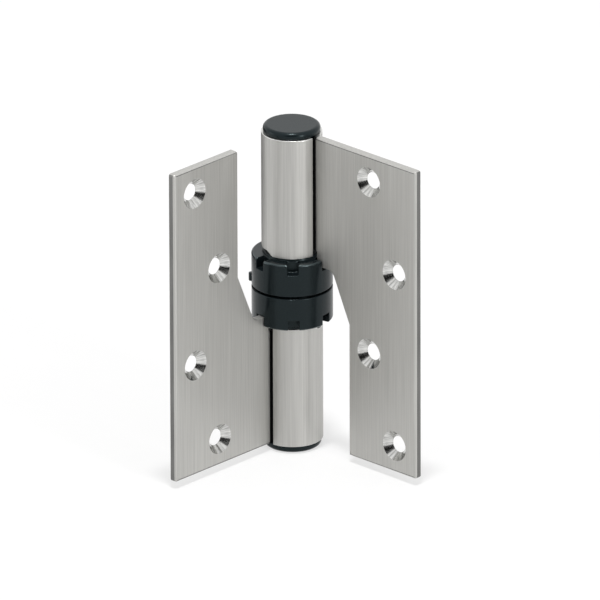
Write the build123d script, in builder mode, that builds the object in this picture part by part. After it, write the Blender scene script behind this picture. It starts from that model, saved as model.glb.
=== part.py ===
"""Gravity hinge for a cubicle door.

Two leaves of steel sheet, each rolled at one edge into a knuckle, turn about one spindle.
A notched collar stands between the knuckles on each leaf. Inside the two collars, helical
ramps lie on each other, so the door leaf climbs as it swings and sinks back by its weight.

Millimetres. Z is the pivot line, and z = 0 is the joint between the collars. At rest the
door leaf lies along +X and the post leaf along -Y, with their screw heads towards each other.
Every piece is drawn for the upper half, and its twin is the same piece turned over. Only the
leaves' cut-aways differ a little, so each has its own levels.
"""
import os
from math import atan2, degrees, sqrt

from build123d import *

# Leaf blank
leaf_height = 127.0
leaf_reach = 64.5
sheet = 3.0
face_offset = 0.5
corner_radius = 0.5
half_height = leaf_height / 2

# Cut-away that lets the other knuckle stand beside the leaf
neck_reach = 29.65
neck_radius = 1.5
door_neck_level = 9.0
post_neck_level = 11.2
tab_reach = 20.7
tab_radius = 3.5
tab_lead_in = 0.4
door_tab_gap = 1.2
post_tab_gap = 0.25

# Rolled knuckle
knuckle_radius = 11.8
bend_radius = 2.0
seam_angle = 3.2
knuckle_end = 14.6
lip_step = 1.75
flank_near = 0.6
flank_far = -2.1
knuckle_bore = knuckle_radius - sheet
recess_end = knuckle_end + lip_step

# Screw holes
screw_hole_radius = 3.25
countersink_radius = 6.0
countersink_angle = 90.0
inner_column = 40.0
outer_column = 53.3
first_screw = 10.7
column_spacing = 71.0

# Collars
collar_radius = 15.7
collar_height = 13.6
collar_joint = 1.0
skirt_wall = 2.1
rim_chamfer = 0.5
joint_chamfer = 0.3
boss_radius = 11.4
spigot_length = 10.0
notch_count = 3
notch_pitch = 54.5
notch_width = 4.3
notch_depth = 4.2
notch_root = 11.8
notch_turn = 9.0
skirt_level = collar_joint / 2
notch_floor = collar_height - notch_depth
notch_sweep = -notch_count * notch_pitch

# Helical cams
cam_lift = 8.0
cam_swing = 90.0
cam_gap = 0.3
cam_side_gap = 0.3
crest_flat = 0.4
ramp_depth = 9.0
cam_foot = (cam_gap - cam_lift) / 2
cam_roof = cam_foot + (cam_lift + ramp_depth) / 2
cam_bore_radius = collar_radius - skirt_wall
cam_radius = cam_bore_radius - cam_side_gap

# Index lug on the door leaf's collar
lug_turn = -140.0
lug_level = 2.6
lug_height = 3.3
lug_width = 2.4
lug_proud = 1.1
lug_centre = collar_radius + lug_proud - lug_width / 2

# Spindle and its bushes
spindle_radius = 6.0
spindle_chamfer = 1.0
running_fit = 0.05
seat_fit = 0.05
end_gap = 0.3

# Caps
cap_radius = 11.1
cap_height = 2.8
cap_edge_chamfer = 1.2
cap_foot_chamfer = 0.6
plug_length = 8.0

spindle_bore = spindle_radius + running_fit
liner_radius = knuckle_bore - seat_fit
spigot_end = knuckle_end + spigot_length
plug_end = half_height - plug_length
cap_top = half_height + cap_height

# Section of the rolled sheet, looking down the pivot line
roll_mid = knuckle_radius - sheet / 2
bend_mid = bend_radius + sheet / 2
leaf_mid = face_offset + sheet / 2
leaf_back = face_offset + sheet
bend_y = leaf_mid + bend_mid
bend_x = sqrt((roll_mid + bend_mid) ** 2 - bend_y**2)
roll_start = degrees(atan2(bend_y, bend_x))

# Turning a piece over about this line gives its twin on the other leaf
turnover = Axis((0, 0, 0), (1, -1, 0))
leaf_front = Plane.XZ.offset(-face_offset)


def band(centre, mid_radius, start, size):
    """Section of the sheet where it is bent round a centre."""
    with BuildSketch() as section:
        with BuildLine():
            outside = CenterArc(centre, mid_radius + sheet / 2, start, size)
            inside = CenterArc(centre, mid_radius - sheet / 2, start, size)
            Line(outside @ 0, inside @ 0)
            Line(outside @ 1, inside @ 1)
        make_face()
    return section.sketch


def outline(corners):
    """Closed outline through corners, each with the radius that rounds it."""
    with BuildSketch() as shape:
        with BuildLine():
            FilletPolyline(*corners.keys(), radius=list(corners.values()), close=True)
        make_face()
    return shape.sketch


def turned_over(piece):
    """The twin of a piece, on the other leaf."""
    return piece.rotate(turnover, 180)


def turned(corners):
    """Turned body, from the corners of its half section."""
    with BuildPart() as body:
        with BuildSketch(Plane.XZ):
            Polygon(*corners, align=None)
        revolve(axis=Axis.Z)
    return body.part


def screw_places():
    """Centres of the four staggered screw holes on the leaf's front."""
    top = half_height - first_screw
    return [
        (inner_column, top),
        (inner_column, top - column_spacing),
        (outer_column, -top),
        (outer_column, column_spacing - top),
    ]


def leaf_corners(neck_level, tab_level):
    """Corners of the flat leaf, from the bend round to the tab, with their radii."""
    return {
        (bend_x, half_height): 0,
        (leaf_reach, half_height): corner_radius,
        (leaf_reach, -half_height): corner_radius,
        (neck_reach, -half_height): corner_radius,
        (neck_reach, -neck_level): neck_radius,
        (tab_reach, tab_level): tab_radius,
        (bend_x, tab_level): 0,
    }


def make_leaf(neck_level, tab_gap):
    """Flat leaf, reverse bend and rolled knuckle, in one piece of sheet."""
    tab_level = notch_floor + tab_gap
    with BuildPart() as leaf:
        with BuildSketch(Plane.XY.offset(recess_end)):
            add(band((0, 0), roll_mid, roll_start, 360 - seam_angle - roll_start))
            add(band((bend_x, bend_y), bend_mid, 180 + roll_start, 90 - roll_start))
        extrude(amount=half_height - recess_end)
        with BuildSketch(leaf_front):
            add(outline(leaf_corners(neck_level, tab_level)))
        extrude(amount=-sheet)
        add(knuckle_lip())
        with BuildSketch(Plane.XY.offset(tab_level)):
            Polygon(
                (bend_x, leaf_back),
                (collar_radius, leaf_back),
                (bend_x, leaf_back - tab_lead_in),
                align=None,
            )
        extrude(amount=recess_end - tab_level, mode=Mode.SUBTRACT)
        with Locations(leaf_front):
            with Locations(*screw_places()):
                CounterSinkHole(
                    screw_hole_radius,
                    countersink_radius,
                    counter_sink_angle=countersink_angle,
                )
    return leaf.part


def knuckle_lip():
    """Front quarter of the knuckle, which reaches down to the collar's boss."""
    with BuildPart() as lip:
        with BuildSketch(Plane.XY.offset(knuckle_end)):
            add(band((0, 0), roll_mid, 180, 180 - seam_angle))
        extrude(amount=lip_step)
        with BuildSketch(Plane.XZ):
            Polygon(
                (-knuckle_radius, recess_end),
                (-knuckle_radius, knuckle_end),
                (flank_near, knuckle_end),
                (flank_far, recess_end),
                align=None,
            )
        extrude(amount=knuckle_radius, mode=Mode.SUBTRACT)
    return lip.part


def make_cam():
    """Two crests and two valleys, joined by ramps that climb as helicoids."""
    with BuildPart() as cam:
        with BuildLine():
            Helix(cam_lift * 360 / cam_swing, cam_lift, cam_radius, center=(0, 0, cam_foot))
        with BuildSketch(Plane.XZ):
            with Locations((spindle_radius, cam_foot)):
                ramp_width = cam_bore_radius + skirt_wall / 2 - spindle_radius
                Rectangle(ramp_width, ramp_depth, align=Align.MIN)
        sweep(is_frenet=True)
        mirror(about=Plane.XZ)
        mirror(about=Plane.YZ)
        with BuildSketch(Plane.XY.offset(cam_foot)):
            Circle(collar_radius)
        extrude(amount=crest_flat, mode=Mode.SUBTRACT)
        with BuildSketch(Plane.XY.offset(cam_foot)):
            Circle(collar_radius)
            Circle(cam_radius, mode=Mode.SUBTRACT)
        extrude(amount=skirt_level - cam_foot, mode=Mode.SUBTRACT)
    return cam.part


def collar_section():
    """Corners of a collar's half section, without its cam or bore."""
    return [
        (0, cam_roof),
        (cam_bore_radius, cam_roof),
        (cam_bore_radius, skirt_level),
        (collar_radius - joint_chamfer, skirt_level),
        (collar_radius, skirt_level + joint_chamfer),
        (collar_radius, collar_height - rim_chamfer),
        (collar_radius - rim_chamfer, collar_height),
        (boss_radius, collar_height),
        (boss_radius, knuckle_end),
        (liner_radius, knuckle_end),
        (liner_radius, spigot_end),
        (0, spigot_end),
    ]


def make_collar(lugged):
    """Skirt, notched rim, boss, spigot and cam, in one moulding."""
    with BuildPart() as collar:
        add(turned(collar_section()))
        add(make_cam())
        with BuildSketch(Plane.XY.offset(spigot_end)):
            Circle(spindle_bore)
        extrude(amount=cam_foot - spigot_end, mode=Mode.SUBTRACT)
        with BuildSketch(Plane.XY.offset(collar_height)):
            with PolarLocations(notch_root, notch_count, notch_turn, notch_sweep):
                Rectangle(collar_radius, notch_width, align=(Align.MIN, Align.CENTER))
        extrude(amount=-notch_depth, mode=Mode.SUBTRACT)
        if lugged:
            with BuildSketch(Plane.XY.offset(lug_level - lug_height / 2)):
                with PolarLocations(lug_centre, 1, start_angle=lug_turn):
                    Circle(lug_width / 2)
                    Rectangle(lug_width, lug_width, align=(Align.MAX, Align.CENTER))
            extrude(amount=lug_height)
    return collar.part


def make_liner():
    """Bush between the collar's spigot and the cap's plug."""
    with BuildPart() as liner:
        with BuildSketch(Plane.XY.offset(spigot_end)):
            Circle(liner_radius)
            Circle(spindle_bore, mode=Mode.SUBTRACT)
        extrude(amount=plug_end - spigot_end)
    return liner.part


def cap_section():
    """Corners of a cap's half section."""
    return [
        (0, cap_top),
        (cap_radius - cap_edge_chamfer, cap_top),
        (cap_radius, cap_top - cap_edge_chamfer),
        (cap_radius, half_height + cap_foot_chamfer),
        (cap_radius - cap_foot_chamfer, half_height),
        (liner_radius, half_height),
        (liner_radius, plug_end),
        (0, plug_end),
    ]


def make_spindle():
    """Plain ground pin, standing on the lower cap's plug."""
    with BuildPart() as spindle:
        with BuildSketch(Plane.XY.offset(-plug_end)):
            Circle(spindle_radius)
        extrude(amount=2 * plug_end - end_gap)
        chamfer(spindle.edges().filter_by(GeomType.CIRCLE), spindle_chamfer)
    return spindle.part


def write(piece, name):
    """One file for each piece."""
    piece.label = name
    export_step(piece, f"parts/{name}.step")


os.makedirs("parts", exist_ok=True)
write(turned_over(make_leaf(post_neck_level, post_tab_gap)), "post_leaf")
write(make_leaf(door_neck_level, door_tab_gap), "door_leaf")
write(turned_over(make_collar(False)), "post_collar")
write(make_collar(True), "door_collar")
liner = make_liner()
write(turned_over(liner), "lower_liner")
write(liner, "upper_liner")
cap = turned(cap_section())
write(turned_over(cap), "bottom_cap")
write(cap, "top_cap")
write(make_spindle(), "spindle")
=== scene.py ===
"""Looks of the gravity hinge: brushed sheet leaves, moulded collars and caps, and a studio.

Metres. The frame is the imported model's: Z is the pivot line, the door leaf lies along +X and the
post leaf along -Y. Each piece is drawn as it lies on the door side, and its twin on the post side
is turned over about the line halfway between the leaves.
"""
from math import atan2, cos, degrees, hypot, pi, radians, sin, sqrt, tan

import bmesh
import bpy
from mathutils import Euler, Matrix, Vector


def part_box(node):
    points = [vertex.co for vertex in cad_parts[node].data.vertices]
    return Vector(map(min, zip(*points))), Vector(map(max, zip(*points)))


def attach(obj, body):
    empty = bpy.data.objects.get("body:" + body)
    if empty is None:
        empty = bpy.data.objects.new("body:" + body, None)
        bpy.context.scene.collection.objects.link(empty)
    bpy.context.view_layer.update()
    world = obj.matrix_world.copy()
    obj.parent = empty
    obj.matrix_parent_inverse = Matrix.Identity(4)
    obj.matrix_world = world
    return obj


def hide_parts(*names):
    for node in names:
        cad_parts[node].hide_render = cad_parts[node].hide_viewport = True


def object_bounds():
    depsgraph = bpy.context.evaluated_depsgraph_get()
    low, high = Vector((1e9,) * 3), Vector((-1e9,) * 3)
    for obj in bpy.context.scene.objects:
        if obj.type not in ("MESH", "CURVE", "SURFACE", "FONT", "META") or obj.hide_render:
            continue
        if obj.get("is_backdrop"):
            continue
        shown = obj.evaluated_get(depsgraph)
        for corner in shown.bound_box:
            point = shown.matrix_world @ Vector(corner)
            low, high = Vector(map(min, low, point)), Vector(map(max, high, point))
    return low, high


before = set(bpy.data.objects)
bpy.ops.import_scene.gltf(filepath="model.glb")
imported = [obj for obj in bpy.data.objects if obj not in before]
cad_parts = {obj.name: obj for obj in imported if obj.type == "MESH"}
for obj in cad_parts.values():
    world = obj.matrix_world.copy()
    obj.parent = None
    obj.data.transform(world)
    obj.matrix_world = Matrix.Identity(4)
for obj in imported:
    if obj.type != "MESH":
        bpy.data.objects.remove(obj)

bl_info = {
    "name": "Gravity hinge",
    "version": (1, 0, 0),
    "blender": (4, 5, 0),
    "location": "3D View > Sidebar > Hinge",
    "description": "Builds the visible pieces of a gravity hinge round its packed frame",
    "category": "Object",
}

MM = 0.001
LEAF_LOW, LEAF_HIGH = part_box("door_leaf")
CAP_LOW, CAP_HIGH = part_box("top_cap")
COLLAR_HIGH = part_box("door_collar")[1]
PIN_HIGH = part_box("spindle")[1]
LINER_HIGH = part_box("upper_liner")[1]
TURN_OVER = Matrix.Rotation(pi, 4, Vector((1, -1, 0)))
DOOR_SIDE = "door_side"
POST_SIDE = "post_side"

# How finely round shapes are cut
SHEET_STEPS = {"bend": 12, "back": 76, "front": 34}
ARC_STEPS = 6
FRONT_STEPS = 4
BACK_STEPS = 2
HOLE_STEPS = 72
CAP_STEPS = 128
NOTCH_STEPS = 6
LUG_STEPS = 24
RIM_STEP = radians(2.8)

# How near two places, levels or directions are taken as one
MERGE = 1e-7
NEAR = 1e-6
NEAR_TURN = 1e-4
SAME = 1e-9
JUST_ABOVE = 1.001
JUST_INSIDE = 0.999
JUST_OUTSIDE = 1.01
SLIVER = 0.01 * MM

# How far a face looks along an axis, and how sharp an edge has to be for rounding
SQUARE = 0.999
SHARP = radians(60)
MOULDED_SHARP = radians(40)

# Material slots of a leaf and of a collar, in this order
# On a leaf, the fourth slot is a painted highlight on the roll's ends and the fifth is painted
# shade inside the roll and in the seam
SHEET, CUT, SHEARED_AND_SHADE, PAINTED_HIGHLIGHT, INSIDE = range(5)
BLACK, RIM = range(2)

# The camera at the photograph's angle
FOCAL_PIXELS = 20000
PIXEL = 0.3845 * MM
FRAME_PIXELS = 600
SENSOR_MM = 36
PIVOT_PIXEL = (292.23, 283.18)
CAMERA_RISE = radians(22.45)
CAMERA_TURN = radians(43.55)
CAMERA_ROLL = radians(-0.2)

# Lamps and dark panels: place, size, and watts
LAMPS = {
    "top_light": ((0.12, -0.13, 1.2), (0.12, 0.08), 8),
    "right_strip": ((1.28, -0.14, 0.22), (0.2, 0.9), 6),
    "left_strip": ((-0.9, -0.95, 0.2), (0.4, 0.5), 1.2),
}
PANELS = {
    "room_panel": ((0.85, -0.9, 0.42), (1.1, 1.0, 1.0)),
    "side_panel": ((-0.2, 0.02, -0.02), (0.16, 0.16, 1.0)),
}
PLASTIC_SHINE = 0.22
RIM_SHINE = 0.9
FLOOR_RADIUS = 3
GLOW_REACH = (0.1, 1.3)
FLOOR_GLOW = (0.58, 0.8)
WORLD_SEEN = 1.0
WORLD_LIGHT = 0.6


def length(name, description, default_mm):
    """A size in metres, given in millimetres."""
    return bpy.props.FloatProperty(
        name=name, description=description, default=default_mm * MM, unit="LENGTH", precision=5
    )


def angle(name, description, default_degrees):
    """An angle in radians, given in degrees."""
    return bpy.props.FloatProperty(
        name=name, description=description, default=radians(default_degrees), unit="ROTATION"
    )


def colour(name, description, default):
    """A surface colour."""
    return bpy.props.FloatVectorProperty(
        name=name, description=description, default=default, subtype="COLOR", size=3, min=0, max=1
    )


class LeafSizes(bpy.types.PropertyGroup):
    """Sizes of a leaf and its rolled knuckle."""

    sheet: length("Sheet", "Thickness of the sheet", 3.0)
    face_offset: length("Face offset", "From the pivot line to the leaf's front face", 0.5)
    knuckle_radius: length("Knuckle radius", "Outside radius of the rolled knuckle", 11.8)
    bend_radius: length("Bend radius", "Inside radius of the reverse bend", 2.0)
    seam_angle: angle("Seam angle", "From the leaf back to the end of the roll", 3.2)
    knuckle_end: length("Knuckle end", "Level of the lip that rests on the collar", 14.6)
    lip_step: length("Lip step", "Height of the lip on the knuckle's inner end", 1.75)
    flank_near: length("Flank foot", "Sideways place of the foot of the lip's flank", 0.6)
    flank_far: length("Flank head", "Sideways place of the head of the lip's flank", -2.1)
    door_tab_level: length("Door tab level", "Level of the tab's edge on the door leaf", 10.6)
    post_tab_level: length("Post tab level", "Level of the tab's edge on the post leaf", 9.65)
    tab_radius: length("Tab radius", "Radius where the tab meets the slanted edge", 3.5)
    tab_reach: length("Tab reach", "From the pivot line to the end of the tab", 20.7)
    tab_lead_in: length("Tab lead-in", "Taken off the tab's inner back corner", 0.4)
    neck_reach: length("Neck reach", "From the pivot line to the cut-away's edge", 29.65)
    door_neck_level: length("Door neck level", "Far end of the slanted edge on the door leaf", 9.0)
    post_neck_level: length("Post neck level", "Far end of the slanted edge on the post leaf", 11.2)
    neck_radius: length("Neck radius", "Radius at the far end of the slanted edge", 1.5)
    corner_radius: length("Corner radius", "Radius of the leaf's other corners", 0.9)
    front_radius: length("Front radius", "Rounding of the sheet's edge at the front", 0.85)
    back_radius: length("Back radius", "Rounding of the sheet's edge at the back", 0.2)
    hole_radius: length("Hole radius", "Radius of a screw hole", 3.25)
    countersink_radius: length("Countersink radius", "Radius of a countersink's mouth", 6.0)
    inner_column: length("Inner column", "From the pivot line to the nearer holes", 40.0)
    outer_column: length("Outer column", "From the pivot line to the farther holes", 53.3)
    first_screw: length("First screw", "From the leaf's end to the first hole", 10.7)
    column_spacing: length("Hole spacing", "Between the two holes of a column", 71.0)


class CollarSizes(bpy.types.PropertyGroup):
    """Sizes of a notched collar and its cam."""

    radius: length("Radius", "Outside radius of the collar", 15.7)
    height: length("Height", "Level of the collar's top face", 13.6)
    joint: length("Joint", "Gap between the two collars", 1.0)
    skirt_wall: length("Skirt wall", "Thickness of the skirt round the cams", 2.1)
    side_gap: length("Side gap", "Between a cam and the other collar's skirt", 0.3)
    rim_radius: length("Rim radius", "Rounding of the collar's outer rim", 0.8)
    joint_radius: length("Joint radius", "Rounding of the skirt's edge at the joint", 0.35)
    boss_radius: length("Boss radius", "Radius of the boss under the knuckle", 11.4)
    boss_height: length("Boss height", "Height of the boss above the top face", 1.0)
    notch_width: length("Notch width", "Width of an adjusting notch", 4.3)
    notch_depth: length("Notch depth", "Depth of an adjusting notch", 4.2)
    notch_root: length("Notch root", "From the pivot line to a notch's inner wall", 11.8)
    notch_turn: angle("Notch turn", "Direction of the notch that holds the leaf's tab", 9.0)
    notch_pitch: angle("Notch pitch", "Turn from one notch to the next", 54.5)
    notch_count: bpy.props.IntProperty(
        name="Notches", description="Number of notches", default=3, min=1
    )
    cam_lift: length("Cam lift", "Rise of the door leaf over the cams", 8.0)
    cam_gap: length("Cam gap", "Between the two cams at rest", 0.3)
    crest_flat: length("Crest flat", "Trimmed off the cam's crests", 0.4)
    running_fit: length("Running fit", "Play all round the spindle", 0.05)
    edge_radius: length("Edge radius", "Rounding along the notches", 0.25)
    lug_turn: angle("Lug turn", "Direction of the index lug", -140)
    lug_level: length("Lug level", "Middle of the index lug", 2.6)
    lug_height: length("Lug height", "Height of the index lug", 3.3)
    lug_width: length("Lug width", "Width of the index lug", 2.4)
    lug_proud: length("Lug stand-out", "How far the lug stands out of the collar", 1.1)


class CapSizes(bpy.types.PropertyGroup):
    """Sizes of a knuckle's end cap."""

    edge_radius: length("Edge radius", "Rounding of the cap's upper edge", 1.5)
    foot_radius: length("Foot radius", "Rounding of the flange's lower edge", 0.6)
    flange: length("Flange", "Height of the cap's flange", 2.8)


class Finishes(bpy.types.PropertyGroup):
    """Colours of the hinge and of the studio."""

    sheet_colour: colour("Sheet", "Brushed stainless sheet", (0.495, 0.49, 0.47))
    # The countersinks' own colour, also used as a painted highlight on the knuckles' ends
    cut_and_highlight_colour: colour("Countersinks", "Steel where a tool cut it", (0.78, 0.78, 0.76))
    pin_colour: colour("Spindle", "Ground steel", (0.60, 0.60, 0.59))
    # The sheared edges' own dull colour, also used as painted shade at the seam and along the front
    # of the leaf's ends
    edge_and_shade_colour: colour("Sheet edge", "Sheared edge of the sheet", (0.17, 0.17, 0.165))
    # Painted shade: nearly black inside the roll and in the seam
    painted_shade_colour: colour("Inside", "Inside of the rolled knuckle", (0.01, 0.01, 0.01))
    plastic_colour: colour("Black plastic", "Collars and caps", (0.007, 0.0104, 0.012))
    bush_colour: colour("Bush", "Bush round the spindle", (0.018, 0.018, 0.018))
    floor_colour: colour("Floor", "Floor under the hinge", (0.38, 0.38, 0.38))


def once(items):
    """The same items in the same order, each only once."""
    return list(dict.fromkeys(items))


def rounding(before, corner, after, radius):
    """How far from a corner along its edges an arc of that radius begins."""
    first = (Vector(before) - Vector(corner)).normalized()
    second = (Vector(after) - Vector(corner)).normalized()
    return radius / tan(first.angle(second) / 2)


def outline(bm, corners):
    """Edges in the XZ plane through corners {(x, z): radius}, with those corners rounded."""
    points = list(corners)
    verts = [bm.verts.new((x, 0, z)) for x, z in points]
    bm.faces.new(verts)
    last = len(points) - 1
    for place, vert in enumerate(verts):
        radius = corners[points[place]]
        if radius:
            after = points[0 if place == last else place + 1]
            bmesh.ops.bevel(
                bm,
                geom=[vert],
                offset=rounding(points[place - 1], points[place], after, radius),
                offset_type="OFFSET",
                segments=ARC_STEPS,
                profile=0.5,
                affect="VERTICES",
                material=-1,
                clamp_overlap=False,
            )
    for face in list(bm.faces):
        bm.faces.remove(face)


def screw_places(leaf):
    """Centres of the four staggered holes, along the leaf and up."""
    top = LEAF_HIGH.z - leaf.first_screw
    return [
        (leaf.inner_column, top),
        (leaf.inner_column, top - leaf.column_spacing),
        (leaf.outer_column, -top),
        (leaf.outer_column, leaf.column_spacing - top),
    ]


def roll_geometry(leaf):
    """Where the flat leaf passes into the reverse bend, and the bend into the roll."""
    roll_mid = leaf.knuckle_radius - leaf.sheet / 2
    bend_mid = leaf.bend_radius + leaf.sheet / 2
    bend_y = leaf.face_offset + leaf.sheet / 2 + bend_mid
    bend_x = sqrt((roll_mid + bend_mid) ** 2 - bend_y**2)
    start = atan2(bend_y, bend_x)
    return roll_mid, bend_mid, bend_x, bend_y, start


def strip(bm, edges, along, steps):
    """Draws edges out into a strip of sheet, and returns the edges at its end."""
    for _ in range(steps):
        made = bmesh.ops.extrude_edge_only(bm, edges=edges)["geom"]
        moved = [item for item in made if isinstance(item, bmesh.types.BMVert)]
        bmesh.ops.translate(bm, verts=moved, vec=(along / steps, 0, 0))
        edges = [
            item
            for item in made
            if isinstance(item, bmesh.types.BMEdge) and all(v in moved for v in item.verts)
        ]
    return edges


def flat_blank(bm, leaf, neck_level, tab_level):
    """The leaf as cut from the sheet, before it is rolled: one face thick, in the XZ plane."""
    roll_mid, bend_mid, bend_x, _, start = roll_geometry(leaf)
    recess_end = leaf.knuckle_end + leaf.lip_step
    outline(
        bm,
        {
            (bend_x, LEAF_HIGH.z): 0,
            (LEAF_HIGH.x, LEAF_HIGH.z): leaf.corner_radius,
            (LEAF_HIGH.x, LEAF_LOW.z): leaf.corner_radius,
            (leaf.neck_reach, LEAF_LOW.z): leaf.corner_radius,
            (leaf.neck_reach, -neck_level): leaf.neck_radius,
            (leaf.tab_reach, tab_level): leaf.tab_radius,
            (COLLAR_HIGH.x, tab_level): 0,
            (COLLAR_HIGH.x, recess_end): 0,
            (bend_x, recess_end): 0,
        },
    )
    border = list(bm.edges)
    for x, z in screw_places(leaf):
        place = Matrix.Translation((x, 0, z)) @ Matrix.Rotation(pi / 2, 4, "X")
        ring = bmesh.ops.create_circle(
            bm, segments=HOLE_STEPS, radius=leaf.countersink_radius, matrix=place
        )
        border += once(e for v in ring["verts"] for e in v.link_edges)
    bmesh.ops.triangle_fill(bm, use_beauty=True, edges=border, normal=(0, -1, 0))
    corners = [(x, z) for z in (recess_end, tab_level) for x in (bend_x, COLLAR_HIGH.x)]
    tab_end = [bm.verts.new((x, 0, z)) for x, z in corners]
    bm.faces.new([tab_end[0], tab_end[1], tab_end[3], tab_end[2]])
    bmesh.ops.remove_doubles(bm, verts=bm.verts, dist=MERGE)
    bend_run = -bend_mid * (pi / 2 - start)
    flank_head = 3 * pi / 2 + leaf.flank_far / roll_mid
    flank_foot = 3 * pi / 2 + leaf.flank_near / roll_mid
    roll_end = 2 * pi - leaf.seam_angle
    fold = [
        e
        for e in bm.edges
        if e.is_boundary
        and all(abs(v.co.x - bend_x) < NEAR and v.co.z > recess_end - NEAR for v in e.verts)
    ]
    fold = strip(bm, fold, bend_run, SHEET_STEPS["bend"])
    fold = strip(bm, fold, -roll_mid * (flank_head - start), SHEET_STEPS["back"])
    strip(bm, fold, -roll_mid * (roll_end - flank_head), SHEET_STEPS["front"])
    lip_start = bend_x + bend_run - roll_mid * (flank_head - start)
    under = [
        e
        for e in bm.edges
        if all(v.co.x < lip_start + NEAR and abs(v.co.z - recess_end) < NEAR for v in e.verts)
    ]
    lowered = [
        item
        for item in bmesh.ops.extrude_edge_only(bm, edges=under)["geom"]
        if isinstance(item, bmesh.types.BMVert)
    ]
    flank_run = roll_mid * (flank_foot - flank_head)
    for vert in lowered:
        vert.co.z -= leaf.lip_step * min(1, (lip_start - vert.co.x) / flank_run)
    bmesh.ops.remove_doubles(bm, verts=bm.verts, dist=MERGE)


def thicken(bm, leaf, tab_level):
    """Gives the blank its thickness: the front at -Y, the back at +Y."""
    for face in bm.faces:
        face.normal_update()
        if face.normal.y > 0:
            face.normal_flip()
    front = list(bm.faces)
    made = bmesh.ops.extrude_face_region(bm, geom=front, use_keep_orig=True)["geom"]
    back = [item for item in made if isinstance(item, bmesh.types.BMVert)]
    bmesh.ops.translate(bm, verts=back, vec=(0, leaf.sheet / 2, 0))
    at_back = set(back)
    front_verts = [v for v in bm.verts if v not in at_back]
    bmesh.ops.translate(bm, verts=front_verts, vec=(0, -leaf.sheet / 2, 0))
    bmesh.ops.recalc_face_normals(bm, faces=bm.faces)
    bend_x = roll_geometry(leaf)[2]
    for vert in bm.verts:
        at_tab_end = abs(vert.co.x - bend_x) < NEAR and abs(vert.co.z - tab_level) < NEAR
        if at_tab_end and vert.co.y > 0:
            vert.co.y -= leaf.tab_lead_in


def countersink(bm, leaf):
    """Opens each hole to a cone at the front and a short straight wall at the back."""
    land = leaf.sheet / 2 - (leaf.countersink_radius - leaf.hole_radius)
    mouth = leaf.countersink_radius * JUST_OUTSIDE
    shrink = leaf.hole_radius / leaf.countersink_radius
    for x, z in screw_places(leaf):
        hole = Matrix.Translation((-x, 0, -z))
        walls = [
            e
            for e in bm.edges
            if abs(e.verts[0].co.y - e.verts[1].co.y) > leaf.sheet / 2
            and hypot(e.verts[0].co.x - x, e.verts[0].co.z - z) < mouth
        ]
        bmesh.ops.subdivide_edges(bm, edges=walls, cuts=1)
        narrow = [
            v
            for v in bm.verts
            if v.co.y > -leaf.sheet / 4 and hypot(v.co.x - x, v.co.z - z) < mouth
        ]
        bmesh.ops.scale(bm, vec=(shrink, 1, shrink), space=hole, verts=narrow)
        for vert in narrow:
            if vert.co.y < leaf.sheet / 4:
                vert.co.y = -land


def roll_up(bm, leaf):
    """Bends the flat blank: the reverse bend first, then the knuckle round the pivot line."""
    roll_mid, bend_mid, bend_x, bend_y, start = roll_geometry(leaf)
    bend_run = bend_mid * (pi / 2 - start)
    leaf_mid = leaf.face_offset + leaf.sheet / 2
    for vert in bm.verts:
        along, depth = bend_x - vert.co.x, vert.co.y
        if along <= 0:
            vert.co.y = leaf_mid + depth
        elif along < bend_run:
            turn = 3 * pi / 2 - along / bend_mid
            vert.co.x = bend_x + (bend_mid - depth) * cos(turn)
            vert.co.y = bend_y + (bend_mid - depth) * sin(turn)
        else:
            turn = start + (along - bend_run) / roll_mid
            vert.co.x = (roll_mid + depth) * cos(turn)
            vert.co.y = (roll_mid + depth) * sin(turn)


def sharp_edges(bm, least):
    """Edges whose faces meet at more than that angle."""
    return [e for e in bm.edges if len(e.link_faces) == 2 and e.calc_face_angle(0) > least]


def round_edges(bm, edges, radius, segments):
    """Rounds edges, keeping the materials of the faces beside them."""
    bmesh.ops.bevel(
        bm,
        geom=edges,
        offset=radius,
        offset_type="OFFSET",
        segments=segments,
        profile=0.5,
        affect="EDGES",
        material=-1,
        clamp_overlap=False,
    )


def in_hole(leaf, place):
    """Whether a place lies within a countersink's mouth."""
    mouth = leaf.countersink_radius * JUST_INSIDE
    return any(hypot(place.x - x, place.z - z) < mouth for x, z in screw_places(leaf))


def on_outer_edge(leaf, edge):
    """Whether an edge lies along the front of the blank's ends or of its outer side."""
    corner = leaf.corner_radius * JUST_OUTSIDE
    low, high = LEAF_LOW.z + corner, LEAF_HIGH.z - corner
    side = LEAF_HIGH.x - corner
    return all(
        v.co.y < -leaf.sheet / 4 and (v.co.x > side or not low < v.co.z < high) for v in edge.verts
    )


def edge_slot(leaf, normal, middle):
    """Slot of a face on the edges: a painted highlight on the roll's ends; the sheared edges' own
    dull colour up the sides, which is painted shade where it is the roll's end in the seam; painted
    shade along the front of the ends.
    """
    on_roll_end = middle.x < roll_geometry(leaf)[2] and abs(normal.z) > 0.25
    up_the_side = abs(normal.x) > 0.7 and abs(normal.y) < 0.1
    at_end = abs(middle.z) > LEAF_HIGH.z - leaf.front_radius and abs(normal.z) > abs(normal.x)
    last_of_rounding = 0.85 < -normal.y < 0.995
    # Painted highlight on the roll's ends
    if on_roll_end:
        return PAINTED_HIGHLIGHT
    # Dull edge colour up the sides, painted shade on the roll's end in the seam and along the front
    # of the ends
    return SHEARED_AND_SHADE if up_the_side or (at_end and last_of_rounding) else SHEET


def leaf_slot(leaf, face):
    """Slot of any face of a leaf that still lies flat."""
    middle = face.calc_center_median()
    past_bend = roll_geometry(leaf)[2] - leaf.sheet / 8
    if in_hole(leaf, middle) and abs(face.normal.y) < 0.9:
        return CUT
    # Faces inside the roll and on the reverse bend by the seam get painted shade
    if middle.x < past_bend and middle.y < -leaf.sheet / 4:
        return INSIDE
    return edge_slot(leaf, face.normal, middle)


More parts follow.
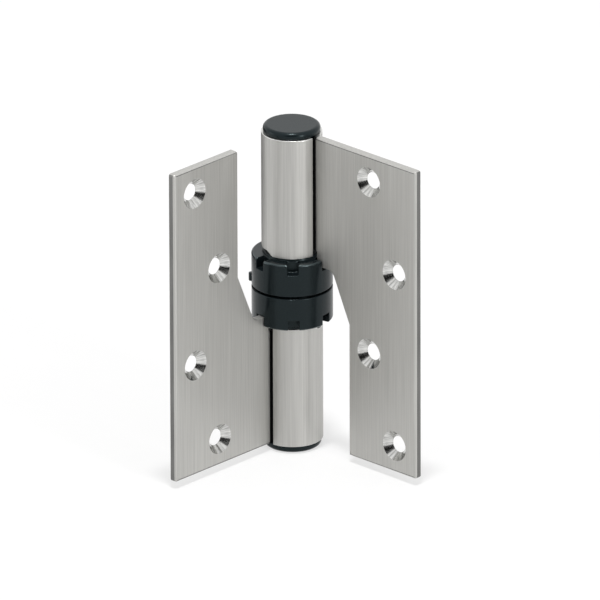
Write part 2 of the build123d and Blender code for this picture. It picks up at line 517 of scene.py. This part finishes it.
def map_cones(bm, leaf):
    """Maps each countersink by angle round its hole and by depth, for the marks of the cutter."""
    layer = bm.loops.layers.uv.new("Cutting")
    for face in bm.faces:
        middle = face.calc_center_median()
        for x, z in screw_places(leaf):
            if hypot(middle.x - x, middle.z - z) > leaf.countersink_radius:
                continue
            face_turn = atan2(middle.z - z, middle.x - x)
            for corner in face.loops:
                place = corner.vert.co
                turn = atan2(place.z - z, place.x - x)
                turn += 2 * pi * round((face_turn - turn) / (2 * pi))
                corner[layer].uv = (turn / (2 * pi), place.y / leaf.sheet)


def leaf_mesh(leaf, neck_level, tab_level):
    """A whole leaf, cut, thickened, countersunk, rounded and rolled up."""
    bm = bmesh.new()
    flat_blank(bm, leaf, neck_level, tab_level)
    thicken(bm, leaf, tab_level)
    countersink(bm, leaf)
    outer = [e for e in sharp_edges(bm, SHARP) if on_outer_edge(leaf, e)]
    round_edges(bm, outer, leaf.front_radius, FRONT_STEPS)
    other = [
        e
        for e in sharp_edges(bm, SHARP)
        if not in_hole(leaf, e.verts[0].co) or e.verts[0].co.y > 0
    ]
    round_edges(bm, other, leaf.back_radius, BACK_STEPS)
    bend_x = roll_geometry(leaf)[2]
    for face in bm.faces:
        face.smooth = abs(face.normal.y) < SQUARE or face.calc_center_median().x < bend_x
        face.material_index = leaf_slot(leaf, face)
    map_cones(bm, leaf)
    roll_up(bm, leaf)
    return bm


def spun(corners, steps):
    """A solid of revolution from a half section {(radius, level): rounding}."""
    bm = bmesh.new()
    outline(bm, corners)
    bmesh.ops.spin(
        bm,
        geom=list(bm.verts) + list(bm.edges),
        cent=(0, 0, 0),
        axis=(0, 0, 1),
        angle=2 * pi,
        steps=steps,
        use_merge=True,
    )
    bmesh.ops.remove_doubles(bm, verts=bm.verts, dist=MERGE)
    bmesh.ops.recalc_face_normals(bm, faces=bm.faces)
    for face in bm.faces:
        face.smooth = abs(face.normal.z) < SQUARE
    return bm


def cap_mesh(cap):
    """Flanged plug, with its upper edge rounded."""
    radius = CAP_HIGH.x
    shoulder = CAP_HIGH.z - cap.flange
    plug = LINER_HIGH.x
    return spun(
        {
            (0, CAP_HIGH.z): 0,
            (radius, CAP_HIGH.z): cap.edge_radius,
            (radius, shoulder): cap.foot_radius,
            (plug, shoulder): 0,
            (plug, CAP_LOW.z): 0,
            (0, CAP_LOW.z): 0,
        },
        CAP_STEPS,
    )


def cam_foot(collar):
    """Level of the cam's crests, before they are trimmed."""
    return (collar.cam_gap - collar.cam_lift) / 2


def wall_mark(collar):
    """Level a hair above the skirt's edge, by which the cam's outer wall is found again."""
    return collar.joint / 2 * JUST_ABOVE


def cam_level(turn, collar):
    """Level of the cam's underside in a direction: crests along X, valleys along Y."""
    climb = abs((degrees(turn) + 90) % 180 - 90) / 90
    return cam_foot(collar) + max(collar.crest_flat, collar.cam_lift * climb)


def collar_section(collar, bore, liner):
    """Half section of a collar through a crest, with a corner at the level of the notches."""
    skirt_level = collar.joint / 2
    crest = cam_foot(collar)
    skirt_bore = collar.radius - collar.skirt_wall
    boss_level = collar.height + collar.boss_height
    return {
        (bore, crest): 0,
        (skirt_bore - collar.side_gap, crest): 0,
        (skirt_bore - collar.side_gap, wall_mark(collar)): 0,
        (skirt_bore, wall_mark(collar)): 0,
        (skirt_bore, skirt_level): 0,
        (collar.radius, skirt_level): collar.joint_radius,
        (collar.radius, collar.height - collar.notch_depth): 0,
        (collar.radius, collar.height): collar.rim_radius,
        (collar.notch_root, collar.height): 0,
        (collar.boss_radius, collar.height): 0,
        (collar.boss_radius, boss_level): 0,
        (liner, boss_level): 0,
        (liner, COLLAR_HIGH.z): 0,
        (bore, COLLAR_HIGH.z): 0,
    }


def spin_part(bm, geom, turn, steps):
    """Sweeps a section round the pivot line, and returns it at its end."""
    return bmesh.ops.spin(
        bm, geom=geom, cent=(0, 0, 0), axis=(0, 0, 1), angle=turn, steps=steps
    )["geom_last"]


def turn_round(bm, verts, turn):
    """Turns a part of a mesh about the pivot line."""
    bmesh.ops.rotate(bm, verts=verts, cent=(0, 0, 0), matrix=Matrix.Rotation(turn, 3, "Z"))


def notch_directions(collar):
    """Directions of the notches, ending with the one that holds the tab."""
    first = collar.notch_turn - collar.notch_pitch * (collar.notch_count - 1)
    return [first + place * collar.notch_pitch for place in range(collar.notch_count)]


def open_notch(bm, collar, direction):
    """Cuts one notch into the rim, with parallel walls and a flat floor."""
    floor = collar.height - collar.notch_depth
    half = collar.notch_width / 2
    outer_half = sin_inverse(half / collar.radius)
    turn_round(bm, bm.verts, -direction)
    inside = []
    for face in bm.faces:
        middle = face.calc_center_median()
        in_rim = middle.z > floor and hypot(middle.x, middle.y) > collar.notch_root
        if in_rim and abs(atan2(middle.y, middle.x)) < outer_half:
            inside.append(face)
    bmesh.ops.delete(bm, geom=inside, context="FACES")
    rim = [e for e in bm.edges if e.is_boundary]
    for vert in once(v for e in rim for v in e.verts):
        reach = hypot(vert.co.x, vert.co.y)
        if abs(abs(atan2(vert.co.y, vert.co.x)) - outer_half) < NEAR_TURN:
            vert.co.x = sqrt(reach**2 - half**2)
            vert.co.y = half if vert.co.y > 0 else -half
    root_reach = collar.notch_root + NEAR
    root = [e for e in rim if all(hypot(v.co.x, v.co.y) < root_reach for v in e.verts)]
    wall = [
        item
        for item in bmesh.ops.extrude_edge_only(bm, edges=root)["geom"]
        if isinstance(item, bmesh.types.BMVert)
    ]
    bmesh.ops.translate(bm, verts=wall, vec=(0, 0, -collar.notch_depth))
    inner = [e for e in bm.edges if e.is_boundary and all(v in wall for v in e.verts)]
    outer = [
        e
        for e in bm.edges
        if e.is_boundary and e not in inner and all(abs(v.co.z - floor) < NEAR for v in e.verts)
    ]
    bmesh.ops.bridge_loops(bm, edges=inner + outer)
    bmesh.ops.holes_fill(bm, edges=[e for e in bm.edges if e.is_boundary], sides=0)
    turn_round(bm, bm.verts, direction)


def sin_inverse(ratio):
    """Angle with that sine."""
    return atan2(ratio, sqrt(1 - ratio**2))


def add_lug(bm, collar):
    """Small index lug on the side of the skirt."""
    centre = collar.radius + collar.lug_proud - collar.lug_width / 2
    made = bmesh.ops.create_circle(
        bm, cap_ends=True, segments=LUG_STEPS, radius=collar.lug_width / 2
    )["verts"]
    for vert in made:
        if vert.co.x < 0:
            vert.co.x = -collar.lug_width
    face = made[0].link_faces[0]
    bmesh.ops.translate(bm, verts=made, vec=(centre, 0, collar.lug_level - collar.lug_height / 2))
    turn_round(bm, made, collar.lug_turn)
    top = bmesh.ops.extrude_face_region(bm, geom=[face], use_keep_orig=True)["geom"]
    moved = [item for item in top if isinstance(item, bmesh.types.BMVert)]
    bmesh.ops.translate(bm, verts=moved, vec=(0, 0, collar.lug_height))
    lug_faces = once(f for v in made + moved for f in v.link_faces)
    bmesh.ops.recalc_face_normals(bm, faces=lug_faces)


def collar_mesh(collar, lugged):
    """Skirt, notched rim, boss, spigot and cam of one collar."""
    bore = PIN_HIGH.x + collar.running_fit
    bm = bmesh.new()
    outline(bm, collar_section(collar, bore, LINER_HIGH.x))
    half_turn = sin_inverse(collar.notch_width / 2 / collar.radius)
    geom = list(bm.verts) + list(bm.edges)
    turn_round(bm, bm.verts, notch_directions(collar)[0] - half_turn)
    around = collar.notch_pitch * (collar.notch_count - 1)
    for place in range(collar.notch_count):
        geom = spin_part(bm, geom, 2 * half_turn, NOTCH_STEPS)
        land = collar.notch_pitch if place < collar.notch_count - 1 else 2 * pi - around
        land -= 2 * half_turn
        geom = spin_part(bm, geom, land, max(4, round(land / RIM_STEP)))
    bmesh.ops.remove_doubles(bm, verts=bm.verts, dist=MERGE)
    bmesh.ops.recalc_face_normals(bm, faces=bm.faces)
    for direction in notch_directions(collar):
        open_notch(bm, collar, direction)
    crest, mark = cam_foot(collar), wall_mark(collar)
    wall_reach = collar.radius - collar.skirt_wall / 2
    for vert in bm.verts:
        level = cam_level(atan2(vert.co.y, vert.co.x), collar)
        if abs(vert.co.z - crest) < NEAR:
            vert.co.z = level
        elif abs(vert.co.z - mark) < SAME and hypot(vert.co.x, vert.co.y) < wall_reach:
            vert.co.z = max(mark, level + SLIVER)
    bmesh.ops.recalc_face_normals(bm, faces=bm.faces)
    if lugged:
        add_lug(bm, collar)
    for face in bm.faces:
        face.smooth = True
        middle = face.calc_center_median()
        outer = hypot(middle.x, middle.y) > collar.radius - collar.rim_radius
        on_rim = outer and 0.2 < face.normal.z < 0.98
        face.material_index = RIM if on_rim else BLACK
    return bm


def place_piece(context, bm, name, body, nodes, materials, bevel=None):
    """Makes a mesh object, lets it ride on its body and stand for its nodes."""
    mesh = bpy.data.meshes.new(name)
    bm.to_mesh(mesh)
    bm.free()
    for material in materials:
        mesh.materials.append(material)
    piece = bpy.data.objects.new(name, mesh)
    context.scene.collection.objects.link(piece)
    if bevel:
        rounded = piece.modifiers.new("Rounded edges", "BEVEL")
        rounded.width = bevel
        rounded.segments = 2
        rounded.limit_method = "ANGLE"
        rounded.angle_limit = MOULDED_SHARP
        rounded.use_clamp_overlap = False
    normals = piece.modifiers.new("Flat faces", "WEIGHTED_NORMAL")
    normals.keep_sharp = True
    normals.weight = 100
    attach(piece, body)
    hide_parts(*nodes)
    return piece


def turned_over(bm):
    """The twin of a mesh, on the other leaf."""
    bmesh.ops.transform(bm, matrix=TURN_OVER, verts=bm.verts)
    return bm


def shader(name):
    """A new material with a Principled shader, and its node tree."""
    material = bpy.data.materials.get(name)
    if material:
        return material, None, None
    material = bpy.data.materials.new(name)
    material.use_nodes = True
    nodes = material.node_tree.nodes
    return material, material.node_tree, nodes["Principled BSDF"]


def link(tree, source, target):
    """Joins two sockets."""
    tree.links.new(source, target)


def streaks(tree, scale, detail, coordinates="Object"):
    """Noise with a scale of its own along each axis."""
    place = tree.nodes.new("ShaderNodeTexCoord")
    stretch = tree.nodes.new("ShaderNodeMapping")
    stretch.inputs["Scale"].default_value = scale
    noise = tree.nodes.new("ShaderNodeTexNoise")
    noise.inputs["Scale"].default_value = 1.0
    noise.inputs["Detail"].default_value = detail
    noise.inputs["Roughness"].default_value = 0.6
    link(tree, place.outputs[coordinates], stretch.inputs["Vector"])
    link(tree, stretch.outputs["Vector"], noise.inputs["Vector"])
    return noise.outputs["Fac"]


def between(tree, factor, low, high):
    """Maps the middle part of noise, where it mostly lies, to the span from low to high."""
    span = tree.nodes.new("ShaderNodeMapRange")
    span.inputs["From Min"].default_value = 0.3
    span.inputs["From Max"].default_value = 0.7
    span.inputs["To Min"].default_value = low
    span.inputs["To Max"].default_value = high
    link(tree, factor, span.inputs["Value"])
    return span.outputs["Result"]


def tinted(tree, factor, colour_a, colour_b):
    """Mixes two colours by a factor."""
    mix = tree.nodes.new("ShaderNodeMix")
    mix.data_type = "RGBA"
    mix.inputs["A"].default_value = (*colour_a, 1)
    mix.inputs["B"].default_value = (*colour_b, 1)
    link(tree, factor, mix.inputs["Factor"])
    return mix.outputs["Result"]


def bumped(tree, factor, distance, strength, bsdf):
    """Lets a factor raise the surface."""
    bump = tree.nodes.new("ShaderNodeBump")
    bump.inputs["Distance"].default_value = distance
    bump.inputs["Strength"].default_value = strength
    link(tree, factor, bump.inputs["Height"])
    link(tree, bump.outputs["Normal"], bsdf.inputs["Normal"])


def shade_of(colour_value, factor):
    """A colour made darker or lighter."""
    return tuple(min(1, part * factor) for part in colour_value)


def marked(tree, bsdf, marks, base, shades, roughness):
    """Lets marks vary a colour between two shades, and the roughness between two values."""
    dark, light = (shade_of(base, factor) for factor in shades)
    link(tree, tinted(tree, between(tree, marks, 0, 1), dark, light), bsdf.inputs["Base Color"])
    link(tree, between(tree, marks, *roughness), bsdf.inputs["Roughness"])


def blended(tree, fine, broad, fine_share):
    """Two patterns of streaks in one, by their shares."""
    scaled = tree.nodes.new("ShaderNodeMath")
    scaled.operation = "MULTIPLY"
    scaled.inputs[1].default_value = 1 - fine_share
    link(tree, broad, scaled.inputs[0])
    both = tree.nodes.new("ShaderNodeMath")
    both.operation = "MULTIPLY_ADD"
    both.inputs[1].default_value = fine_share
    link(tree, fine, both.inputs[0])
    link(tree, scaled.outputs[0], both.inputs[2])
    return both.outputs[0]


def sheet_steel(finishes):
    """Stainless sheet with a fine upright brushing."""
    material, tree, bsdf = shader("brushed_sheet")
    if tree:
        fine = streaks(tree, (1900, 1900, 24), 2)
        broad = streaks(tree, (260, 260, 5), 2)
        grain = blended(tree, fine, broad, 0.9)
        marked(tree, bsdf, grain, finishes.sheet_colour, (0.89, 1.11), (0.40, 0.50))
        bumped(tree, grain, 0.02 * MM, 0.35, bsdf)
        bsdf.inputs["Metallic"].default_value = 0.8
    return material


def highlight_painted_steel(finishes):
    """Ends of the knuckles, with a painted highlight: a brighter colour that stands in for their
    glint.
    """
    material, tree, bsdf = shader("painted_highlight_edge")
    if tree:
        marks = streaks(tree, (700, 700, 700), 2)
        marked(tree, bsdf, marks, finishes.cut_and_highlight_colour, (0.8, 1), (0.25, 0.35))
        bsdf.inputs["Metallic"].default_value = 1
    return material


def sheared_and_shade_steel(finishes):
    """Edges of the sheet, duller than its faces, and painted shade at the seam and along the front
    of the leaf's ends.
    """
    material, tree, bsdf = shader("sheared_edge_and_painted_shade")
    if tree:
        marks = streaks(tree, (500, 500, 60), 2)
        marked(tree, bsdf, marks, finishes.edge_and_shade_colour, (0.85, 1.15), (0.35, 0.45))
        bsdf.inputs["Metallic"].default_value = 1
    return material


def shade_painted_steel(finishes):
    """Painted shade: the inside of the roll and the reverse bend in the seam, nearly black."""
    material, tree, bsdf = shader("painted_shade_inside")
    if tree:
        marks = streaks(tree, (500, 500, 60), 2)
        marked(tree, bsdf, marks, finishes.painted_shade_colour, (0.8, 1.2), (0.6, 0.75))
        bsdf.inputs["Specular IOR Level"].default_value = 0.1
    return material


def cut_steel(finishes):
    """Countersinks, bright where the tool turned."""
    material, tree, bsdf = shader("cut_steel")
    if tree:
        marks = streaks(tree, (38, 0.7, 1), 3, "UV")
        marked(tree, bsdf, marks, finishes.cut_and_highlight_colour, (0.45, 1), (0.12, 0.26))
        bsdf.inputs["Metallic"].default_value = 1
    return material


def pin_steel(finishes):
    """Ground spindle."""
    material, tree, bsdf = shader("ground_pin")
    if tree:
        marks = streaks(tree, (30, 30, 5000), 2)
        marked(tree, bsdf, marks, finishes.pin_colour, (0.9, 1), (0.18, 0.28))
        bsdf.inputs["Metallic"].default_value = 1
    return material


def moulded(name, base, shine=PLASTIC_SHINE):
    """Moulded plastic with a faint grain."""
    material, tree, bsdf = shader(name)
    if tree:
        grain = streaks(tree, (1800, 1800, 1800), 3)
        marked(tree, bsdf, grain, base, (0.9, 1.12), (0.2, 0.27))
        bumped(tree, grain, 0.03 * MM, 0.06, bsdf)
        bsdf.inputs["Specular IOR Level"].default_value = shine
        bsdf.inputs["Specular Tint"].default_value = (0.78, 0.97, 1.0, 1)
    return material


def finish_node(name, material):
    """Gives a carried-over piece its finish."""
    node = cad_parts[name]
    node.data.materials.clear()
    node.data.materials.append(material)
    for polygon in node.data.polygons:
        polygon.material_index = 0


class HINGE_OT_leaves(bpy.types.Operator):
    """Makes both leaves, each rolled from one blank"""

    bl_idname = "hinge.leaves"
    bl_label = "Leaves"

    def execute(self, context):
        scene = context.scene
        finishes = scene.hinge_finishes
        steels = {
            SHEET: sheet_steel,
            CUT: cut_steel,
            # Sheared edges, also painted shade at the seam and along the front of the ends
            SHEARED_AND_SHADE: sheared_and_shade_steel,
            # Painted highlight on the knuckles' ends
            PAINTED_HIGHLIGHT: highlight_painted_steel,
            # Painted shade inside the roll and in the seam
            INSIDE: shade_painted_steel,
        }
        materials = [steels[slot](finishes) for slot in sorted(steels)]
        sizes = scene.hinge_leaf
        door_mesh = leaf_mesh(sizes, sizes.door_neck_level, sizes.door_tab_level)
        post_mesh = turned_over(leaf_mesh(sizes, sizes.post_neck_level, sizes.post_tab_level))
        door = place_piece(
            context, door_mesh, "door_leaf_sheet", DOOR_SIDE, ["door_leaf"], materials
        )
        post = place_piece(
            context, post_mesh, "post_leaf_sheet", POST_SIDE, ["post_leaf"], materials
        )
        return {"FINISHED"}


class HINGE_OT_collars(bpy.types.Operator):
    """Makes both notched collars, with their cams"""

    bl_idname = "hinge.collars"
    bl_label = "Collars"

    def execute(self, context):
        scene = context.scene
        black = scene.hinge_finishes.plastic_colour
        materials = [moulded("black_plastic", black), moulded("black_rim", black, RIM_SHINE)]
        sizes = scene.hinge_collar
        door_mesh = collar_mesh(sizes, True)
        post_mesh = turned_over(collar_mesh(sizes, False))
        edge = sizes.edge_radius
        door = place_piece(
            context, door_mesh, "door_collar_moulding", DOOR_SIDE, ["door_collar"], materials, edge
        )
        post = place_piece(
            context, post_mesh, "post_collar_moulding", POST_SIDE, ["post_collar"], materials, edge
        )
        return {"FINISHED"}


class HINGE_OT_caps(bpy.types.Operator):
    """Makes the cap at each end"""

    bl_idname = "hinge.caps"
    bl_label = "Caps"

    def execute(self, context):
        scene = context.scene
        materials = [moulded("black_plastic", scene.hinge_finishes.plastic_colour)]
        top_mesh = cap_mesh(scene.hinge_cap)
        bottom_mesh = turned_over(cap_mesh(scene.hinge_cap))
        top = place_piece(context, top_mesh, "top_cap_moulding", DOOR_SIDE, ["top_cap"], materials)
        bottom = place_piece(
            context, bottom_mesh, "bottom_cap_moulding", POST_SIDE, ["bottom_cap"], materials
        )
        return {"FINISHED"}


class HINGE_OT_inside(bpy.types.Operator):
    """Finishes the spindle and the bushes"""

    bl_idname = "hinge.inside"
    bl_label = "Spindle and bushes"

    def execute(self, context):
        finishes = context.scene.hinge_finishes
        finish_node("spindle", pin_steel(finishes))
        bush = moulded("bush_plastic", finishes.bush_colour)
        for name in ("upper_liner", "lower_liner"):
            finish_node(name, bush)
        return {"FINISHED"}


def make_camera(context):
    """A long lens that looks into the angle between the leaves."""
    lens = bpy.data.cameras.new("photo_camera")
    lens.sensor_width = SENSOR_MM
    lens.lens = FOCAL_PIXELS / FRAME_PIXELS * SENSOR_MM
    camera = bpy.data.objects.new("photo_camera", lens)
    context.scene.collection.objects.link(camera)
    facing = Euler((pi / 2 - CAMERA_RISE, 0, CAMERA_TURN)).to_matrix()
    turn = facing @ Matrix.Rotation(CAMERA_ROLL, 3, "Z")
    right, up, back = turn.col
    distance = FOCAL_PIXELS * PIXEL
    beside, above = (FRAME_PIXELS / 2 - pixel for pixel in PIVOT_PIXEL)
    place = back * distance + right * beside * PIXEL - up * above * PIXEL
    camera.matrix_world = Matrix.Translation(place) @ turn.to_4x4()
    lens.clip_start = 0.1
    lens.clip_end = 50
    context.scene.camera = camera


def soft_lamp(context, name, place, size, power):
    """An oblong soft light that faces the hinge."""
    light = bpy.data.lights.new(name, "AREA")
    light.shape = "RECTANGLE"
    light.size, light.size_y = size
    light.energy = power
    lamp = bpy.data.objects.new(name, light)
    lamp.location = place
    lamp.rotation_euler = (-Vector(place)).to_track_quat("-Z", "Y").to_euler()
    context.scene.collection.objects.link(lamp)


def dark_panel(context, name, place, size):
    """Stands for a dark part of the studio, which the metal mirrors and the camera doesn't see."""
    bm = bmesh.new()
    bmesh.ops.create_grid(bm, x_segments=1, y_segments=1, size=0.5)
    mesh = bpy.data.meshes.new(name)
    bm.to_mesh(mesh)
    bm.free()
    panel = bpy.data.objects.new(name, mesh)
    panel.location = place
    panel.rotation_euler = (-Vector(place)).to_track_quat("Z", "Y").to_euler()
    panel.scale = size
    material, tree, bsdf = shader("dark_cloth")
    if tree:
        weave = streaks(tree, (60, 60, 60), 2)
        cloth = tinted(tree, weave, (0.01, 0.01, 0.01), (0.015, 0.015, 0.015))
        link(tree, cloth, bsdf.inputs["Base Color"])
        bsdf.inputs["Roughness"].default_value = 1
    mesh.materials.append(material)
    context.scene.collection.objects.link(panel)
    panel.visible_camera = False
    panel.visible_diffuse = False
    panel.visible_shadow = False
    panel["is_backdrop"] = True


def seen_directly(tree):
    """One where the camera, a reflection or clear glass sees a surface, nought where it lights."""
    path = tree.nodes.new("ShaderNodeLightPath")
    seen = path.outputs["Is Camera Ray"]
    for ray in ("Is Glossy Ray", "Is Transmission Ray"):
        either = tree.nodes.new("ShaderNodeMath")
        either.operation = "MAXIMUM"
        link(tree, seen, either.inputs[0])
        link(tree, path.outputs[ray], either.inputs[1])
        seen = either.outputs[0]
    return seen


def round_world(context):
    """White where the camera or a reflection sees it, and soft light on the rest."""
    world = bpy.data.worlds.new("studio")
    context.scene.world = world
    world.use_nodes = True
    tree = world.node_tree
    background = tree.nodes["Background"]
    mix = tree.nodes.new("ShaderNodeMix")
    mix.data_type = "FLOAT"
    mix.inputs["A"].default_value = WORLD_LIGHT
    mix.inputs["B"].default_value = WORLD_SEEN
    link(tree, seen_directly(tree), mix.inputs["Factor"])
    link(tree, mix.outputs["Result"], background.inputs["Strength"])
    background.inputs["Color"].default_value = (1, 1, 1, 1)


def floor_glow(tree):
    """Lifts the floor to white where it is seen, least near the hinge, where its shadow lies."""
    place = tree.nodes.new("ShaderNodeTexCoord")
    distance = tree.nodes.new("ShaderNodeVectorMath")
    distance.operation = "LENGTH"
    link(tree, place.outputs["Object"], distance.inputs[0])
    glow = tree.nodes.new("ShaderNodeMapRange")
    glow.inputs["From Min"].default_value, glow.inputs["From Max"].default_value = GLOW_REACH
    glow.inputs["To Min"].default_value, glow.inputs["To Max"].default_value = FLOOR_GLOW
    link(tree, distance.outputs["Value"], glow.inputs["Value"])
    lift = tree.nodes.new("ShaderNodeMath")
    lift.operation = "MULTIPLY"
    link(tree, glow.outputs["Result"], lift.inputs[1])
    link(tree, seen_directly(tree), lift.inputs[0])
    return lift.outputs[0]


def make_floor(context, colour_value):
    """A wide pale floor under the hinge."""
    bm = bmesh.new()
    bmesh.ops.create_circle(bm, cap_ends=True, segments=96, radius=FLOOR_RADIUS)
    bmesh.ops.translate(bm, verts=bm.verts, vec=(0, 0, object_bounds()[0].z))
    mesh = bpy.data.meshes.new("floor")
    bm.to_mesh(mesh)
    bm.free()
    floor = bpy.data.objects.new("floor", mesh)
    material, tree, bsdf = shader("floor")
    if tree:
        speckle = between(tree, streaks(tree, (40, 40, 40), 2), 0, 1)
        pale = tinted(tree, speckle, shade_of(colour_value, 0.99), colour_value)
        link(tree, pale, bsdf.inputs["Base Color"])
        bsdf.inputs["Roughness"].default_value = 0.9
        bsdf.inputs["Specular IOR Level"].default_value = 0.1
        bsdf.inputs["Emission Color"].default_value = (1, 1, 1, 1)
        link(tree, floor_glow(tree), bsdf.inputs["Emission Strength"])
    mesh.materials.append(material)
    context.scene.collection.objects.link(floor)
    floor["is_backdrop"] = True


class HINGE_OT_stage(bpy.types.Operator):
    """Sets the floor, the lights, the dark panels and the world"""

    bl_idname = "hinge.stage"
    bl_label = "Studio"

    def execute(self, context):
        make_floor(context, context.scene.hinge_finishes.floor_colour)
        for name, (place, size, watts) in LAMPS.items():
            soft_lamp(context, name, place, size, watts)
        for name, (place, size) in PANELS.items():
            dark_panel(context, name, place, size)
        round_world(context)
        context.scene.view_settings.view_transform = "Standard"
        return {"FINISHED"}


class HINGE_OT_camera(bpy.types.Operator):
    """Makes the camera at the photograph's angle"""

    bl_idname = "hinge.camera"
    bl_label = "Camera"

    def execute(self, context):
        make_camera(context)
        return {"FINISHED"}


class HINGE_PT_panel(bpy.types.Panel):
    """Lists the steps that build the hinge"""

    bl_idname = "HINGE_PT_panel"
    bl_label = "Gravity hinge"
    bl_space_type = "VIEW_3D"
    bl_region_type = "UI"
    bl_category = "Hinge"

    def draw(self, context):
        for operator in OPERATORS:
            self.layout.operator(operator.bl_idname)
        for setting in GROUPS:
            group = getattr(context.scene, setting)
            box = self.layout.box()
            for name in group.__annotations__:
                box.prop(group, name)


GROUPS = {
    "hinge_leaf": LeafSizes,
    "hinge_collar": CollarSizes,
    "hinge_cap": CapSizes,
    "hinge_finishes": Finishes,
}
OPERATORS = (
    HINGE_OT_camera,
    HINGE_OT_leaves,
    HINGE_OT_collars,
    HINGE_OT_caps,
    HINGE_OT_inside,
    HINGE_OT_stage,
)


def register():
    """Adds the classes and the scene's settings."""
    for item in (*GROUPS.values(), *OPERATORS, HINGE_PT_panel):
        bpy.utils.register_class(item)
    for name, group in GROUPS.items():
        setattr(bpy.types.Scene, name, bpy.props.PointerProperty(type=group))


def unregister():
    """Takes them away again."""
    for name in GROUPS:
        delattr(bpy.types.Scene, name)
    for item in reversed((*GROUPS.values(), *OPERATORS, HINGE_PT_panel)):
        bpy.utils.unregister_class(item)


def main():
    """Builds the hinge and its studio."""
    register()
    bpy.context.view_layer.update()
    bpy.ops.hinge.camera()
    bpy.ops.hinge.leaves()
    bpy.ops.hinge.collars()
    bpy.ops.hinge.caps()
    bpy.ops.hinge.inside()
    bpy.ops.hinge.stage()


if __name__ == "__main__":
    main()
